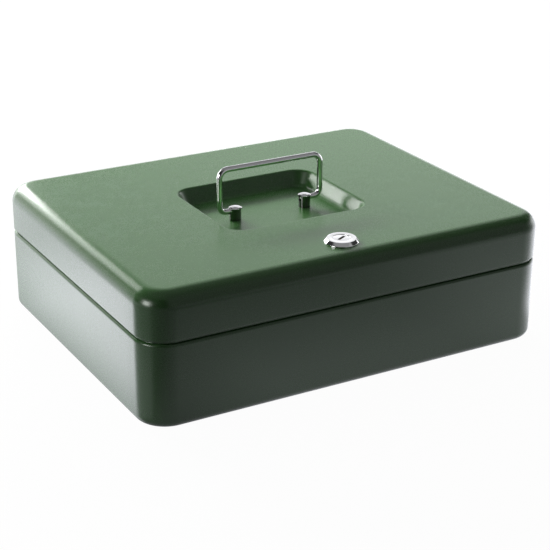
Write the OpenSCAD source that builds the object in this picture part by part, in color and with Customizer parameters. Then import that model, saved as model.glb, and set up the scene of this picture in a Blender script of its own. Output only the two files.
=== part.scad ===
// A steel cash box of 300 x 240 x 90 mm: a pressed body and lid joined by two pin hinges, a bail handle
// that folds into a pressed pocket, a wafer lock with a turning cam, and a lift-out coin tray.
// The origin is the middle of the underside, +Z is up, and -Y is the front, where the lock is.

/* [Box] */
// Width of the closed box, left to right
box_w = 300; // [260:5:360]
// Depth of the closed box, front to back
box_d = 240; // [220:5:300]
// Height of the body's shoulder, above which the lid starts
body_h = 57.2; // [50:0.2:90]
// Height of the lid, from its lower edge to its top
lid_h = 31; // [31:1:45]
// Gap between the body's shoulder and the lid's lower edge
seam_gap = 1.8; // [1.4:0.1:2.4]
// Thickness of the steel sheet
sheet = 1; // [0.8:0.1:1.2]
// Outside radius of the upright corners
corner_r = 21; // [18:1:30]
// Outside radius of the lid's top edge
lid_edge_r = 11; // [6:0.5:11]
// Outside radius of the body's bottom edge
base_edge_r = 5; // [3:0.5:8]
// Outside radius of the body's shoulder
shoulder_r = 2; // [1.4:0.1:2.4]
// Height of the folded rim above the shoulder
rim_h = 7; // [5:0.5:9]
// Clearance between the rim and the lid's skirt
rim_gap = 0.8; // [0.5:0.1:1.2]

/* [Handle pocket] */
// Width of the pocket at the lid's top
pocket_w = 110; // [104:1:130]
// Depth of the pocket's opening, front to back
pocket_d = 94; // [84:1:100]
// Place of the pocket's middle, behind the middle of the lid
pocket_y = -1.6; // [-4:0.2:4]
// How far the pocket's floor lies below the lid's top
pocket_sink = 10.8; // [9:0.2:12]
// Corner radius of the pocket's opening
pocket_r = 15; // [13:0.5:20]
// Radius of the pocket's rounded lip
lip_r = 2; // [1.5:0.5:4]
// Radius between the pocket's wall and floor
floor_r = 4; // [2:0.5:5]
// Slope of the pocket's wall from level, in degrees
wall_slope = 62; // [55:1:75]

/* [Handle] */
// Diameter of the bail's wire
wire_d = 4; // [3:0.5:5]
// Distance between the middles of the bail's two legs
bail_w = 79.4; // [74:0.2:84]
// Height of the grip's middle above the pivot
bail_h = 30.5; // [26:0.5:33]
// Bend radius at the grip, on the wire's middle line
grip_bend_r = 6.5; // [5:0.5:9]
// Bend radius at the pivot ends, on the wire's middle line
foot_bend_r = 5; // [4:0.5:6]
// Distance between the middles of the two posts
post_gap = 55; // [50:1:58]
// Diameter of a post's shaft
post_d = 8.1; // [7:0.1:9]
// Diameter of a post's head
post_head_d = 9.4; // [9.2:0.1:10.5]
// Height of the upright edge of a post's head
post_head_edge = 0.6; // [0.4:0.1:0.8]
// Height of a post above the pocket's floor
post_h = 10.1; // [9.9:0.1:11]
// Height of the bail's pivot above the pocket's floor
pivot_h = 6.8; // [6:0.1:7]
// Diameter of the post's tail, which is riveted over under the floor
tail_d = 5; // [4:0.5:6]
// Diameter of the washer under the floor
post_washer_d = 10; // [9:0.5:14]
// Thickness of the washer under the floor
post_washer_t = 1; // [0.8:0.1:1.5]
// Diameter of the riveted-over end of the tail
tail_head_d = 8; // [7:0.5:9]
// Thickness of the riveted-over end of the tail
tail_head_t = 1.2; // [1:0.1:1.5]

/* [Lock] */
// Distance from the lock's axis to the box's front
lock_inset = 25; // [24:0.5:30]
// Diameter of the lock's head where it sits on the lid
lock_head_d = 22.8; // [21:0.2:26]
// Height of the lock's head above the lid
lock_head_h = 2.8; // [2.2:0.1:3.5]
// Height of the upright edge below the head's slope
lock_head_edge = 0.7; // [0.4:0.1:1]
// Diameter of the flat face of the head
lock_face_d = 19.6; // [17:0.2:20]
// Diameter of the lock's barrel under the lid
barrel_d = 18; // [16:0.5:20]
// Width across the barrel's two flats
barrel_flats = 15.5; // [14:0.5:16]
// Diameter of the turning plug
plug_d = 10; // [9:0.5:11]
// Diameter of the plug's head, which keeps it in the barrel
plug_head_d = 12; // [11.5:0.1:13]
// Thickness of the plug's head
plug_head_t = 1.6; // [1.2:0.1:2]
// Width of the keyway
keyway_w = 2; // [1.6:0.1:2.4]
// Length of the keyway across the plug
keyway_l = 7.4; // [6:0.2:8]
// Angle of the keyway from the box's width with the lock open, in degrees
keyway_angle = 28; // [0:1:90]
// Number of wafers in the plug
wafers = 5; // [4:1:6]
// Thickness of one wafer
wafer_t = 0.9; // [0.7:0.1:1]
// Thickness of the washer whose tab stops the plug
stop_t = 1.2; // [1:0.1:1.5]
// Thickness of the lock's nut
nut_t = 4; // [3:0.5:5]
// Width across the flats of the lock's nut
nut_flats = 24; // [23:0.5:26]
// Thickness of the cam
cam_t = 2; // [1.6:0.1:2.4]
// Reach of the cam from the lock's axis
cam_l = 18.5; // [17:0.5:19]
// Width of the cam's arm
cam_w = 9; // [7:0.5:10]
// Width of the square drive between plug and cam
drive_w = 6; // [5:0.5:7]
// Clearance between the cam and the strike's lip
strike_gap = 0.4; // [0.3:0.1:0.8]
// Width of the strike
strike_w = 34; // [28:1:38]
// Reach of the strike's lip over the cam
strike_lip = 7; // [5:0.5:8]
// Thickness of the strike's plate
strike_t = 1.2; // [1:0.1:1.6]

/* [Hinges] */
// Distance of each hinge's middle from the box's side
hinge_side = 65; // [45:5:85]
// Length of one hinge
hinge_w = 44; // [36:1:60]
// Number of knuckles in one hinge, an odd number
knuckles = 5; // [3:2:7]
// Diameter of the knuckles
knuckle_d = 5.2; // [4.8:0.1:5.6]
// Diameter of the hinge pin
hinge_pin_d = 2.5; // [2:0.1:2.8]
// Thickness of a hinge leaf
leaf_t = 1; // [0.8:0.1:1.2]
// Height of a hinge leaf from the pin's middle
leaf_h = 18; // [12:1:19]
// How far the pin's middle lies inside the box's back
hinge_in = 1.3; // [1.1:0.1:1.5]

/* [Trays] */
// Height of the trays from their underside to their top
tray_h = 31.6; // [26:0.2:40]
// Wall of the trays' mouldings
tray_wall = 1.6; // [1.2:0.1:2]
// Coin cups in each of the two coin trays
cups = 3; // [2:1:4]
// Banknote bays in the note tray
bays = 3; // [2:1:4]
// Width of the gap for the lock between the coin trays
lock_bay_w = 46; // [44:1:56]
// Radius along the bottom of the banknote bays
bay_r = 6; // [3:0.5:8]
// Clearance between the trays and the box's rim
tray_gap = 1; // [0.6:0.1:1.5]
// How far the trays' flanges lie back from the rim's outer face
flange_inset = 1.2; // [0.8:0.1:1.6]
// Gap between the coin trays and the note tray behind them
nest_gap = 0.3; // [0.2:0.1:0.8]

/* [Hidden] */

$fn = 64;
fit = 0.05;        // radial clearance of a pin in its hole
slack = 0.5;       // clearance at the ends of a notch
play = 0.1;        // endwise clearance of a part that turns
turn_gap = 0.3;    // clearance round the hinges' knuckles
through = 1;       // how far a cutter runs past the face that it cuts
paint = "darkgreen";
chrome = "silver";
zinc = "gainsboro";

lid_bottom = body_h + seam_gap;
box_top = lid_bottom + lid_h;
straight_w = box_w - 2 * corner_r;
straight_d = box_d - 2 * corner_r;
rim_out = corner_r - sheet - rim_gap;       // rim faces, measured out from the corners' centres
rim_in = rim_out - 2 * sheet;
rim_top = body_h + rim_h;
lid_under = box_top - sheet;

pocket_floor = box_top - pocket_sink;
floor_under = pocket_floor - sheet;
pivot_z = pocket_floor + pivot_h;
post_top = pocket_floor + post_h;

lock_y = -box_d / 2 + lock_inset;
rim_inner_y = -box_d / 2 + corner_r - rim_in;
lip_top = rim_top - play;
cam_top = lip_top - strike_t - strike_gap;
cam_bottom = cam_top - cam_t;
plug_end = cam_top + stop_t;
barrel_bottom = plug_end + play;
plug_top = box_top + lock_head_h - 2 * play;
stop_r = barrel_d / 2 - slack;              // reach of the stop washer's tab and of the barrel's lug
stop_wall = 1;                              // material round the drive in the stop washer
stop_ring = plug_d / 2 + stop_wall;         // radius of the stop washer without its tab
stop_tab = 20;                              // angle that the washer's tab takes up
stop_spare = 1;                             // angle left at each end of the turn
lock_turn = 90;
screw_r = 1.5;
screw_l = 6.5;                              // how far the cam's screw reaches into the plug
screw_head_t = 1.8;
screw_slot_w = 0.9;
hub_wall = 1.5;                             // material round the drive in the cam and the screw's head
cam_hub_d = plug_d + 2 * hub_wall;
screw_head_d = drive_w + 2 * hub_wall;
nut_ledge = 1;                              // how far the washer reaches past the nut's flats
foot_back = 1;                              // distance from a foot's end to the inner side of its post

wafer_edge = 0.7;                           // frame of a wafer beyond its window, and plug wall past its ends
wafer_side = 1;                             // how much a wafer is wider than the keyway, each side
wafer_gap = 1.3;                            // metal between two wafers
wafer_depth = 2;                            // depth of the first wafer under the plug's head
wafer_w = keyway_w + 2 * wafer_side;
wafer_l = plug_d - 2 * wafer_edge;
wafer_pitch = wafer_t + wafer_gap;
first_wafer = plug_top - plug_head_t - wafer_depth;
wafer_window = keyway_l - 2 * wafer_edge;

hinge_x = box_w / 2 - hinge_side;
hinge_y = box_d / 2 - hinge_in;
hinge_z = body_h + seam_gap / 2;
leaf_out = box_d / 2 - sheet;
notch_r = knuckle_d / 2 + turn_gap;
notch_y = min(hinge_y - notch_r, straight_d / 2 + rim_in) - through;
knuckle_w = hinge_w / knuckles;

tray_top = rim_top + tray_wall;
cup_d = 2 * (tray_h - tray_wall);           // a cup is half a cylinder, as deep as its radius
tray_w = straight_w + 2 * (rim_in - tray_gap);
tray_d = straight_d + 2 * (rim_in - tray_gap);
tray_bottom = tray_top - tray_h;
cup_front = -tray_d / 2 + tray_wall;
cup_y = cup_front + cup_d / 2;
note_front = cup_front + cup_d + tray_wall + nest_gap;   // outer face of the note tray's front wall
bay_front = note_front + tray_wall;
bay_back = tray_d / 2 - tray_wall;
cup_group_w = (tray_w - lock_bay_w) / 2 - 2 * tray_wall;
cup_w = (cup_group_w - (cups - 1) * tray_wall) / cups;
bay_w = (tray_w - (bays + 1) * tray_wall) / bays;

// ---- shapes that repeat ----

// A profile carried round a rectangle with quarter turns at its corners. The profile's x is the distance
// out from the w by d rectangle of corner centres, and its y is the height.
module carried_round(w, d) {
    for (side = [0, 1]) {
        rotate(side * 180) {
            translate([w / 2, d / 2]) rotate_extrude(angle = 90) children();
            translate([-w / 2, d / 2]) rotate(90) rotate_extrude(angle = 90) children();
            translate([-w / 2, d / 2]) rotate([90, 0, 90]) linear_extrude(w) children();
            translate([w / 2, d / 2]) rotate([90, 0, 0]) linear_extrude(d) children();
        }
    }
}

// Points along an arc, from one angle to another
function arc(x, y, r, from, to, steps) =
    [for (k = [0:steps]) let (a = from + (to - from) * k / steps) [x + r * cos(a), y + r * sin(a)]];

// A solid block with rounded upright edges
module round_block(w, d, r, z, h) {
    translate([-w / 2, -d / 2 + r, z]) cube([w, d - 2 * r, h]);
    translate([-w / 2 + r, -d / 2, z]) cube([w - 2 * r, d, h]);
    for (x = [-1, 1], y = [-1, 1])
        translate([x * (w / 2 - r), y * (d / 2 - r), z]) cylinder(r = r, h = h);
}

// A block on a plane, with its middle on the Z axis
module slab(w, d, z, h) {
    translate([-w / 2, -d / 2, z]) cube([w, d, h]);
}

// A round rod along X from x0 to x1
module rod_x(x0, x1, r) {
    translate([x0, 0, 0]) rotate([0, 90, 0]) cylinder(r = r, h = x1 - x0);
}

// ---- body ----

// Section of the body: bottom, lower edge, wall, shoulder and the rim of doubled sheet with its round top
module body_profile() {
    base_x = corner_r - base_edge_r;
    shoulder_x = corner_r - shoulder_r;
    shoulder_y = body_h - shoulder_r;
    polygon(concat(
        [[0, 0]],
        arc(base_x, base_edge_r, base_edge_r, -90, 0, 8),
        arc(shoulder_x, shoulder_y, shoulder_r, 0, 90, 6),
        [[rim_out, body_h]],
        arc(rim_in + sheet, rim_top - sheet, sheet, 0, 180, 8),
        [[rim_in, body_h - sheet]],
        arc(shoulder_x, shoulder_y, shoulder_r - sheet, 90, 0, 4),
        arc(base_x, base_edge_r, base_edge_r - sheet, 0, -90, 6),
        [[0, sheet]]
    ));
}

// Notch through the back of body or lid in which a hinge's knuckles lie
module hinge_notches(z0, z1) {
    for (x = [-hinge_x, hinge_x])
        translate([x - hinge_w / 2 - slack, notch_y, z0])
            cube([hinge_w + 2 * slack, box_d / 2 - notch_y + through, z1 - z0]);
}

module box_shell() {
    color(paint) difference() {
        union() {
            carried_round(straight_w, straight_d) body_profile();
            slab(straight_w, straight_d, 0, sheet);
        }
        hinge_notches(hinge_z - notch_r, rim_top + through);
    }
}

// Bracket welded to the front rim, whose lip the cam turns under
module strike_plate() {
    color(zinc) {
        translate([-strike_w / 2, rim_inner_y, body_h - sheet])
            cube([strike_w, strike_t, lip_top - body_h + sheet]);
        translate([-strike_w / 2, rim_inner_y, lip_top - strike_t])
            cube([strike_w, strike_t + strike_lip, strike_t]);
    }
}

// ---- hinges ----

// One leaf with every second knuckle. up is 1 on the lid and -1 on the body; first is its first knuckle.
module hinge_leaf(up, first) {
    z0 = up > 0 ? notch_r : -leaf_h;
    color(paint) translate([0, hinge_y, hinge_z]) difference() {
        union() {
            translate([-hinge_w / 2, leaf_out - leaf_t - hinge_y, z0])
                cube([hinge_w, leaf_t, leaf_h - notch_r]);
            for (k = [first:2:knuckles - 1]) {
                x0 = -hinge_w / 2 + k * knuckle_w + play;
                rod_x(x0, x0 + knuckle_w - 2 * play, knuckle_d / 2);
                translate([x0, leaf_out - leaf_t - hinge_y, up > 0 ? 0 : -notch_r])
                    cube([knuckle_w - 2 * play, leaf_t, notch_r]);
            }
        }
        rod_x(-hinge_w / 2 - through, hinge_w / 2 + through, hinge_pin_d / 2 + fit);
    }
}

module hinge_pin() {
    color(zinc) translate([0, hinge_y, hinge_z]) rod_x(-hinge_w / 2, hinge_w / 2, hinge_pin_d / 2);
}

// ---- lid ----

// Section of the lid's rounded lower edge, skirt, top edge and top
module lid_profile() {
    edge_x = corner_r - lid_edge_r;
    edge_y = box_top - lid_edge_r;
    polygon(concat(
        [[0, lid_under]],
        arc(edge_x, edge_y, lid_edge_r - sheet, 90, 0, 10),
        arc(corner_r - sheet / 2, lid_bottom + sheet / 2, sheet / 2, 180, 360, 6),
        arc(edge_x, edge_y, lid_edge_r, 0, 90, 12),
        [[0, box_top]]
    ));
}

// The pocket's wall follows two arcs joined by a straight slope. Distances are measured out from the
// pocket's corner centres; the lip ends level with the lid's top.
slope_run = (pocket_sink - (lip_r + floor_r) * (1 - cos(wall_slope))) / tan(wall_slope);
floor_x = pocket_r - (lip_r + floor_r) * sin(wall_slope) - slope_run;

// Section of the pocket's sheet from its floor to its lip
module pocket_profile() {
    lip_y = box_top - lip_r;
    floor_y = pocket_floor + floor_r;
    polygon(concat(
        [[0, floor_under]],
        arc(floor_x, floor_y, floor_r + sheet, -90, wall_slope - 90, 6),
        arc(pocket_r, lip_y, lip_r - sheet, 90 + wall_slope, 90, 4),
        arc(pocket_r, lip_y, lip_r, 90, 90 + wall_slope, 6),
        arc(floor_x, floor_y, floor_r, wall_slope - 90, -90, 6),
        [[0, pocket_floor]]
    ));
}

module lid_shell() {
    inner_w = pocket_w - 2 * pocket_r;
    inner_d = pocket_d - 2 * pocket_r;
    color(paint) difference() {
        union() {
            carried_round(straight_w, straight_d) lid_profile();
            difference() {
                slab(straight_w, straight_d, lid_under, sheet);
                translate([0, pocket_y])
                    round_block(pocket_w, pocket_d, pocket_r, lid_under - through, sheet + 2 * through);
            }
            translate([0, pocket_y]) {
                carried_round(inner_w, inner_d) pocket_profile();
                slab(inner_w, inner_d, floor_under, sheet);
            }
        }
        hinge_notches(lid_bottom - through, hinge_z + notch_r);
        for (x = [-1, 1])
            translate([x * post_gap / 2, pocket_y, floor_under - through])
                cylinder(d = tail_d + 2 * fit, h = sheet + 2 * through);
        translate([0, lock_y, lid_under - through])
            barrel_outline(barrel_d / 2 + fit, barrel_flats + 2 * fit, sheet + 2 * through);
    }
}

// ---- handle ----

module handle_post(x) {
    head_r = post_head_d / 2;
    dome_r = 2 * head_r;
    dome_h = dome_r - sqrt(dome_r * dome_r - head_r * head_r);
    shaft_h = post_h - dome_h - post_head_edge;
    tail_bottom = floor_under - post_washer_t - tail_head_t;
    color(chrome) translate([x, pocket_y]) difference() {
        union() {
            translate([0, 0, pocket_floor]) cylinder(d = post_d, h = shaft_h);
            // low dome on the head
            translate([0, 0, post_top]) rotate_extrude() intersection() {
                translate([0, -dome_r]) circle(dome_r);
                translate([0, shaft_h - post_h]) square([head_r, post_h - shaft_h]);
            }
            translate([0, 0, tail_bottom]) cylinder(d = tail_d, h = pocket_floor - tail_bottom + through);
            translate([0, 0, tail_bottom]) cylinder(d = tail_head_d, h = tail_head_t);
        }
        translate([0, 0, pivot_z]) rod_x(-post_d, post_d, wire_d / 2 + fit);
    }
}

module post_washers() {
    color(zinc) for (x = [-1, 1])
        translate([x * post_gap / 2, pocket_y, floor_under - post_washer_t]) difference() {
            cylinder(d = post_washer_d, h = post_washer_t);
            translate([0, 0, -through]) cylinder(d = tail_d + 2 * fit, h = post_washer_t + 2 * through);
        }
}

// Quarter bend of the bail's wire in the X-Z plane, from +X to +Z
module wire_bend(r) {
    rotate([90, 0, 0]) rotate_extrude(angle = 90) translate([r, 0]) circle(d = wire_d);
}

module handle_bail() {
    half = bail_w / 2;
    foot_end = post_gap / 2 - post_d / 2 + foot_back;
    color(chrome) translate([0, pocket_y, pivot_z]) {
        translate([0, 0, bail_h]) rod_x(-half + grip_bend_r, half - grip_bend_r, wire_d / 2);
        for (side = [0, 1]) mirror([side, 0, 0]) {
            translate([half - grip_bend_r, 0, bail_h - grip_bend_r]) wire_bend(grip_bend_r);
            translate([half, 0, foot_bend_r])
                cylinder(d = wire_d, h = bail_h - grip_bend_r - foot_bend_r);
            translate([half - foot_bend_r, 0, foot_bend_r]) mirror([0, 0, 1]) wire_bend(foot_bend_r);
            rod_x(foot_end, half - foot_bend_r, wire_d / 2);
        }
    }
}

// ---- lock ----

// Round bar with two flats, from the plane z = 0 up
module barrel_outline(r, flats, h) {
    intersection() {
        cylinder(r = r, h = h);
        slab(2 * r + through, flats, 0, h);
    }
}

// Ring sector from r0 to r1 that starts at an angle and takes up a span
module ring_sector(r0, r1, start, span, h) {
    rotate(start) rotate_extrude(angle = span) translate([r0, 0]) square([r1 - r0, h]);
}

module lock_housing() {
    lug_in = stop_ring + slack;
    color(chrome) translate([0, lock_y]) difference() {
        union() {
            translate([0, 0, box_top]) cylinder(d = lock_head_d, h = lock_head_edge);
            translate([0, 0, box_top + lock_head_edge])
                cylinder(d1 = lock_head_d, d2 = lock_face_d, h = lock_head_h - lock_head_edge);
            translate([0, 0, barrel_bottom])
                barrel_outline(barrel_d / 2, barrel_flats, box_top - barrel_bottom);
            // lug whose ends stop the washer's tab at both ends of the turn
            intersection() {
                translate([0, 0, plug_end - stop_t])
                    ring_sector(lug_in, stop_r, stop_tab / 2 + stop_spare,
                                360 - lock_turn - stop_tab - 2 * stop_spare, stop_t + play + through);
                translate([0, 0, plug_end - stop_t])
                    barrel_outline(barrel_d / 2, barrel_flats, stop_t + play + through);
            }
        }
        translate([0, 0, barrel_bottom - through])
            cylinder(d = plug_d + 2 * fit, h = box_top - barrel_bottom + lock_head_h + 2 * through);
        translate([0, 0, plug_top - plug_head_t - play])
            cylinder(d = plug_head_d + 2 * fit, h = plug_head_t + play + 2 * through);
    }
}

module lock_washer() {
    color(zinc) translate([0, lock_y, lid_under - sheet]) difference() {
        cylinder(d = nut_flats + 2 * nut_ledge, h = sheet);
        translate([0, 0, -through]) cylinder(d = barrel_d + 2 * play, h = sheet + 2 * through);
    }
}

module lock_nut() {
    color(zinc) translate([0, lock_y, lid_under - sheet - nut_t]) difference() {
        cylinder(d = nut_flats / cos(30), h = nut_t, $fn = 6);
        translate([0, 0, -through]) cylinder(d = barrel_d + 2 * fit, h = nut_t + 2 * through);
    }
}

module lock_plug() {
    drive_bottom = cam_bottom + play;
    color(chrome) translate([0, lock_y]) difference() {
        union() {
            translate([0, 0, plug_end]) cylinder(d = plug_d, h = plug_top - plug_end);
            translate([0, 0, plug_top - plug_head_t]) cylinder(d = plug_head_d, h = plug_head_t);
            slab(drive_w, drive_w, drive_bottom, plug_end - drive_bottom + through);
        }
        rotate(keyway_angle) {
            slab(keyway_l, keyway_w, first_wafer - wafers * wafer_pitch, plug_top);
            for (k = [0:wafers - 1])
                slab(wafer_l + 2 * fit, wafer_w + 2 * fit, first_wafer - k * wafer_pitch, wafer_t + 2 * fit);
        }
        translate([0, 0, cam_bottom - through]) cylinder(r = screw_r + fit, h = screw_l + 2 * through);
    }
}

// Wafers with a window for the key, each in its slot in the plug
module lock_wafers() {
    color("goldenrod") translate([0, lock_y]) rotate(keyway_angle) for (k = [0:wafers - 1])
        translate([0, 0, first_wafer - k * wafer_pitch + fit]) difference() {
            slab(wafer_l, wafer_w, 0, wafer_t);
            slab(wafer_window, keyway_w, -through, wafer_t + 2 * through);
        }
}

// Square hole for the plug's drive
module drive_hole(h) {
    slab(drive_w + 2 * fit, drive_w + 2 * fit, -through, h + 2 * through);
}

// Washer on the plug's drive, whose tab runs between the ends of the barrel's lug
module lock_stop_washer() {
    color(zinc) translate([0, lock_y, plug_end - stop_t]) difference() {
        union() {
            cylinder(r = stop_ring, h = stop_t);
            ring_sector(plug_d / 2, stop_r, -stop_tab / 2, stop_tab, stop_t);
        }
        drive_hole(stop_t);
    }
}

module lock_cam() {
    tip_x = cam_l - cam_w / 2;
    color(zinc) translate([0, lock_y, cam_bottom]) difference() {
        union() {
            cylinder(d = cam_hub_d, h = cam_t);
            translate([0, -cam_w / 2, 0]) cube([tip_x, cam_w, cam_t]);
            translate([tip_x, 0, 0]) cylinder(d = cam_w, h = cam_t);
        }
        drive_hole(cam_t);
    }
}

module cam_screw() {
    color(zinc) translate([0, lock_y, cam_bottom]) difference() {
        union() {
            translate([0, 0, -screw_head_t]) cylinder(d = screw_head_d, h = screw_head_t);
            cylinder(r = screw_r, h = screw_l);
        }
        slab(screw_slot_w, screw_head_d + 2 * through, -screw_head_t - through,
             through + screw_head_t / 2);
    }
}

// ---- trays ----

// Cup section across the box: half a circle, open at the top
module cup_section(r) {
    difference() {
        circle(r);
        translate([-r - through, 0]) square([2 * (r + through), r + through]);
    }
}

// Banknote bay's section across the box, with rounded lower edges. The origin is its upper front edge.
module bay_section(d, h, r) {
    translate([0, -h + r]) square([d, h - r]);
    translate([r, -h]) square([d - 2 * r, h]);
    for (y = [r, d - r]) translate([y, -h + r]) circle(r);
}

// Turns a section drawn in Y and Z into a solid along X
module along_x(x0, length) {
    translate([x0, 0, 0]) rotate([90, 0, 90]) linear_extrude(length) children();
}

// Block between the straight sides and round corners of the box's opening. reach is how far it goes out
// from the corners' centres.
module opening_block(reach, z, h) {
    round_block(straight_w + 2 * reach, straight_d + 2 * reach, reach, z, h);
}

// Plate that lies on the box's rim
module rim_plate() {
    opening_block(rim_out - flange_inset, rim_top, tray_wall);
}

// Note tray behind the lock: bays, and a flange on three sides. The coin trays' lips lie on its front wall.
module note_tray() {
    reach = rim_in - tray_gap;
    bay_d = bay_back - bay_front;
    color("dimgray") difference() {
        union() {
            intersection() {
                rim_plate();
                translate([-box_w / 2, note_front, 0]) cube([box_w, box_d, box_top]);
            }
            intersection() {
                along_x(-tray_w / 2, tray_w) translate([note_front, tray_top])
                    bay_section(bay_d + 2 * tray_wall, tray_h, bay_r + tray_wall);
                opening_block(reach, tray_bottom, tray_h);
            }
        }
        translate([-box_w / 2, note_front - through, rim_top])
            cube([box_w, tray_wall + through, tray_wall + through]);
        intersection() {
            for (k = [0:bays - 1])
                along_x(-tray_w / 2 + tray_wall + k * (bay_w + tray_wall), bay_w)
                    translate([bay_front, tray_top]) {
                        bay_section(bay_d, tray_h - tray_wall, bay_r);
                        square([bay_d, through]);
                    }
            opening_block(reach - tray_wall, tray_bottom, tray_h + 2 * through);
        }
    }
}

// Coin tray beside the lock, with half-round cups. side is -1 on the left and 1 on the right.
module coin_tray(side) {
    reach = rim_in - tray_gap;
    inner_x = lock_bay_w / 2;
    color("dimgray") mirror([side < 0 ? 1 : 0, 0, 0]) difference() {
        union() {
            intersection() {
                rim_plate();
                translate([inner_x, -box_d / 2, 0])
                    cube([box_w / 2, note_front + tray_wall + box_d / 2, box_top]);
            }
            intersection() {
                along_x(inner_x, tray_w / 2 - inner_x) translate([cup_y, tray_top])
                    cup_section(cup_d / 2 + tray_wall);
                opening_block(reach, tray_bottom, tray_h);
            }
        }
        intersection() {
            for (k = [0:cups - 1])
                along_x(inner_x + tray_wall + k * (cup_w + tray_wall), cup_w) translate([cup_y, tray_top]) {
                    cup_section(cup_d / 2);
                    translate([-cup_d / 2, 0]) square([cup_d, through]);
                }
            opening_block(reach - tray_wall, tray_bottom, tray_h + 2 * through);
        }
    }
}

box_shell();
strike_plate();
translate([-hinge_x, 0, 0]) hinge_leaf(-1, 0);  // hinge_body_leaf_left
translate([hinge_x, 0, 0]) hinge_leaf(-1, 0);  // hinge_body_leaf_right
translate([-hinge_x, 0, 0]) hinge_pin();  // hinge_pin_left
translate([hinge_x, 0, 0]) hinge_pin();  // hinge_pin_right
lid_shell();
translate([-hinge_x, 0, 0]) hinge_leaf(1, 1);  // hinge_lid_leaf_left
translate([hinge_x, 0, 0]) hinge_leaf(1, 1);  // hinge_lid_leaf_right
handle_post(-post_gap / 2);  // handle_post_left
handle_post(post_gap / 2);  // handle_post_right
post_washers();
handle_bail();
lock_housing();
lock_washer();
lock_nut();
lock_plug();
lock_wafers();
lock_stop_washer();
lock_cam();
cam_screw();
note_tray();
coin_tray(-1);  // coin_tray_left
coin_tray(1);  // coin_tray_right
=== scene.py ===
# %% [markdown]
# # A steel cash box, dressed for the camera
# The box is a shallow tray of green painted sheet steel with a lid hinged at the back. A chrome bail
# handle lies in a pocket pressed into the lid, and a cam lock sits in front of it. The CAD frame already
# holds every solid in its place. This lesson puts finished surfaces over them, one piece at a time.

# %% Frame
import math

import bpy
import numpy as np
from mathutils import Matrix, Vector


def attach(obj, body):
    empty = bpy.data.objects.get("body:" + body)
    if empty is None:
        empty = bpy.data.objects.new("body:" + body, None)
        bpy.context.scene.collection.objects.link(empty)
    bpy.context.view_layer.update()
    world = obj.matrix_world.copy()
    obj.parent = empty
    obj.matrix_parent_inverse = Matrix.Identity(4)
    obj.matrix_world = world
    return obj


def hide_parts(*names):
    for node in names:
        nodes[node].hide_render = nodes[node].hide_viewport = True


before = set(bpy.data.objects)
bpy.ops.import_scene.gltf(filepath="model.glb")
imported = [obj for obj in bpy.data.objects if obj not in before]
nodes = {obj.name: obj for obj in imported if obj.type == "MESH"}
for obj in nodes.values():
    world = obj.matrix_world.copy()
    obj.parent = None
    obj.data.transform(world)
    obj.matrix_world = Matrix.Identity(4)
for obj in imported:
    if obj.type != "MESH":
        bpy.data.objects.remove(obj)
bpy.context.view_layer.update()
scene = bpy.context.scene
scene.view_settings.view_transform = "Standard"

# %% [markdown]
# ## The sizes
# A maker works from a drawing, so the sizes stand here once, in millimetres, and every surface below is
# worked out from them. Blender counts in metres, so a mesh is multiplied by MM as it is made.

# %% Sizes in millimetres
MM = 0.001

# the two pressings: outside sizes, the gap between them, the sheet and its bends
box_w, box_d, body_h, lid_h, seam_gap = 300.0, 240.0, 57.2, 31.0, 1.8
sheet, corner_r, lid_edge_r, base_edge_r, shoulder_r = 1.0, 21.0, 11.0, 5.0, 2.0
rim_h, rim_gap, rim_root_r = 7.0, 0.8, 0.3

# the handle's pocket in the lid
pocket_w, pocket_d, pocket_y, pocket_sink, pocket_r = 110.0, 94.0, -1.6, 10.8, 15.0
lip_r, floor_r, wall_slope = 2.0, 4.0, math.radians(62)

# the bail's wire and its two posts
wire_d, bail_w, bail_h, grip_bend_r, foot_bend_r = 4.0, 79.4, 30.5, 6.5, 5.0
post_gap, post_d, post_head_d, post_head_edge, post_h = 55.0, 8.1, 9.4, 0.6, 10.1
pivot_h, tail_d, tail_head_d, tail_head_t, post_washer_t = 6.8, 5.0, 8.0, 1.2, 1.0

# the lock: head, barrel, plug, keyway, and the stack of cam, stop washer and strike
lock_inset, lock_head_d, lock_head_h, lock_head_edge, lock_face_d = 25.0, 22.8, 2.8, 0.7, 19.6
barrel_d, barrel_flats, plug_d, plug_head_d, plug_head_t = 18.0, 15.5, 10.0, 12.0, 1.6
keyway_w, keyway_l, keyway_depth, keyway_angle = 2.0, 7.4, 16.0, math.radians(28)
drive_w, cam_t, stop_t, strike_t, strike_gap = 6.0, 2.0, 1.2, 1.2, 0.4

# the hinges, and the clearances that the pieces share
hinge_x, hinge_w, knuckle_d, hinge_in = 85.0, 44.0, 5.2, 1.3
fit, slack, play, turn_gap, through = 0.05, 0.5, 0.1, 0.3, 1.0

lid_bottom = body_h + seam_gap
box_top = lid_bottom + lid_h
straight_w, straight_d = box_w - 2 * corner_r, box_d - 2 * corner_r
rim_out = corner_r - sheet - rim_gap
rim_in = rim_out - 2 * sheet
rim_top = body_h + rim_h
pocket_floor = box_top - pocket_sink
pivot_z = pocket_floor + pivot_h
lock_y = -box_d / 2 + lock_inset
hinge_y, hinge_z = box_d / 2 - hinge_in, body_h + seam_gap / 2
print("closed box:", box_w, "x", box_d, "x", box_top, "mm")

# %% [markdown]
# ## From grids to meshes
# Every new surface is a grid of points with two parameters: u runs round the piece and v runs along its
# section. One helper turns such a grid into a closed mesh. It joins the last column to the first, and it
# closes the first and last row to one point each, or joins them to each other where the section is itself
# a loop. The signed volume then says if the faces point outwards, so no piece can end up inside out.

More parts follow.
